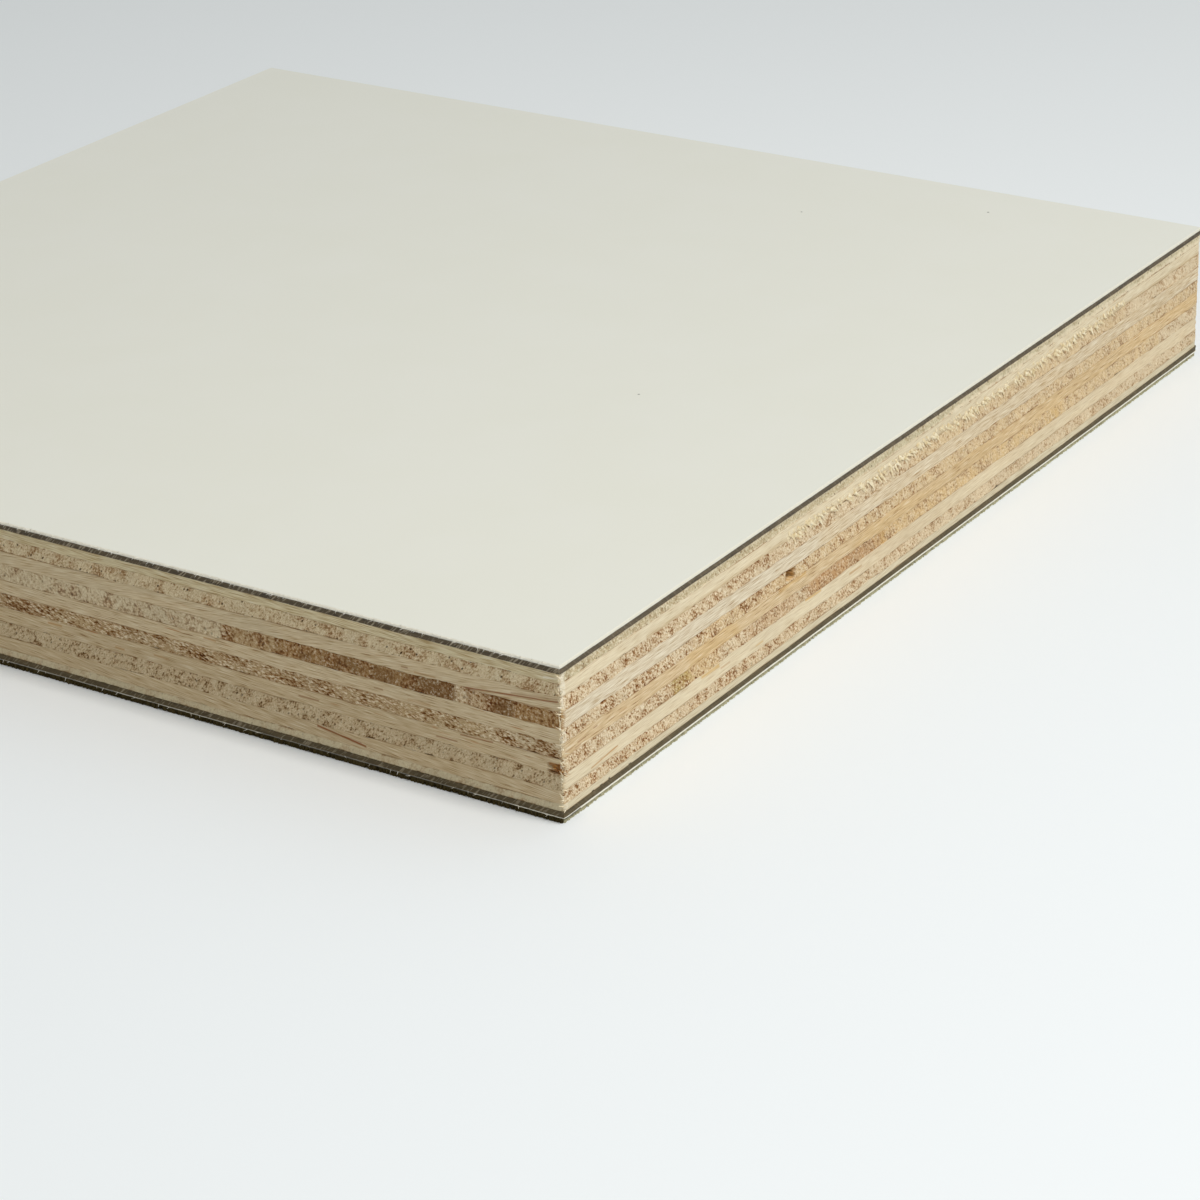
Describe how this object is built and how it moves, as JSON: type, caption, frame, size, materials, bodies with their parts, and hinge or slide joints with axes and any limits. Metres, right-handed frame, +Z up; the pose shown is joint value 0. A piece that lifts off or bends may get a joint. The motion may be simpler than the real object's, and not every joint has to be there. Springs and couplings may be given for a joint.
{
  "type": "plywood sheet",
  "caption": "Square piece of plywood lying flat, with a pale laminate face above and below and cut edges that show cross-banded veneers between dark core lines.",
  "frame": {"origin": "middle of the lower face, on the floor", "axes": "+Z up through the thickness; X and Y along the sides; the cut corner at -X, -Y is the one nearest the picture's camera; the grain of the outer top veneer runs along Y"},
  "size_m": [0.15, 0.15, 0.0171],
  "materials": {
    "decor_laminate": "satin",
    "kraft_core": "matte",
    "veneer_lengthwise": "matte",
    "veneer_crosswise": "matte"
  },
  "bodies": {
    "root": {"top_decor": "decor_laminate", "top_kraft": "kraft_core", "veneer_01": "veneer_lengthwise", "veneer_02": "veneer_crosswise", "veneer_03": "veneer_lengthwise", "veneer_04": "veneer_crosswise", "veneer_05": "veneer_lengthwise", "veneer_06": "veneer_crosswise", "veneer_07": "veneer_lengthwise", "veneer_08": "veneer_crosswise", "veneer_09": "veneer_lengthwise", "veneer_10": "veneer_crosswise", "bottom_kraft": "kraft_core", "bottom_decor": "decor_laminate"}
  },
  "joints": []
}
